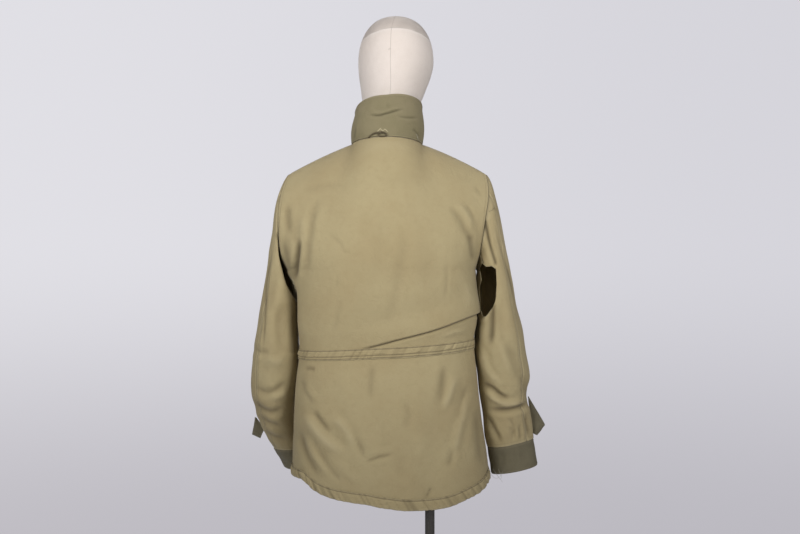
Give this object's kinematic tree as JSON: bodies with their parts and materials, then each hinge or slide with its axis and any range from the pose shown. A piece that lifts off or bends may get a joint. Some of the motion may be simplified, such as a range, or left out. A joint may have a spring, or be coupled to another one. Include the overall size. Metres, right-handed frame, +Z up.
{
  "type": "field jacket on a dress form and stand",
  "caption": "Field jacket turned inside out, hanging worn on a smooth limbless dress form with a plain head, which stands on a pole and a round base.",
  "frame": {"origin": "The middle of the round base's underside, on the floor.", "axes": "+Z is up, +Y is the way the jacket's back faces, and +X is the wearer's left."},
  "size_m": [0.6637, 0.38, 1.7403],
  "materials": {
    "poplin": "light khaki cotton poplin, worn and creased",
    "olive_cotton": "darker olive cotton sateen, faded",
    "linen": "pale cotton cover, smooth and tight",
    "button_plastic": "plain dull plastic",
    "painted_steel": "dark grey satin paint"
  },
  "bodies": {
    "root": {"back": "poplin", "front_left": "poplin", "front_right": "poplin", "waist_casing_back": "poplin", "waist_casing_front_left": "poplin", "waist_casing_front_right": "poplin", "hem_turn_back": "poplin", "hem_turn_front_left": "poplin", "hem_turn_front_right": "poplin", "sleeve_left_top_cap": "poplin", "sleeve_left_top_upper": "poplin", "sleeve_left_top_elbow": "poplin", "sleeve_left_top_lower": "poplin", "sleeve_left_under_upper": "poplin", "sleeve_left_under_elbow": "poplin", "sleeve_left_under_lower": "poplin", "sleeve_right_top_cap": "poplin", "sleeve_right_top_upper": "poplin", "sleeve_right_top_elbow": "poplin", "sleeve_right_top_lower": "poplin", "sleeve_right_under_upper": "poplin", "sleeve_right_under_elbow": "poplin", "sleeve_right_under_lower": "poplin", "cuff_left": "olive_cotton", "cuff_right": "olive_cotton", "cuff_facing_left": "olive_cotton", "cuff_facing_right": "olive_cotton", "collar": "olive_cotton", "hanger_loop": "olive_cotton", "front_button_1": "button_plastic", "front_button_2": "button_plastic", "front_button_3": "button_plastic", "front_button_4": "button_plastic", "front_button_5": "button_plastic", "dress_form": "linen", "form_flange": "painted_steel", "stand_pole": "painted_steel", "pole_socket": "painted_steel", "stand_base": "painted_steel"}
  },
  "joints": []
}
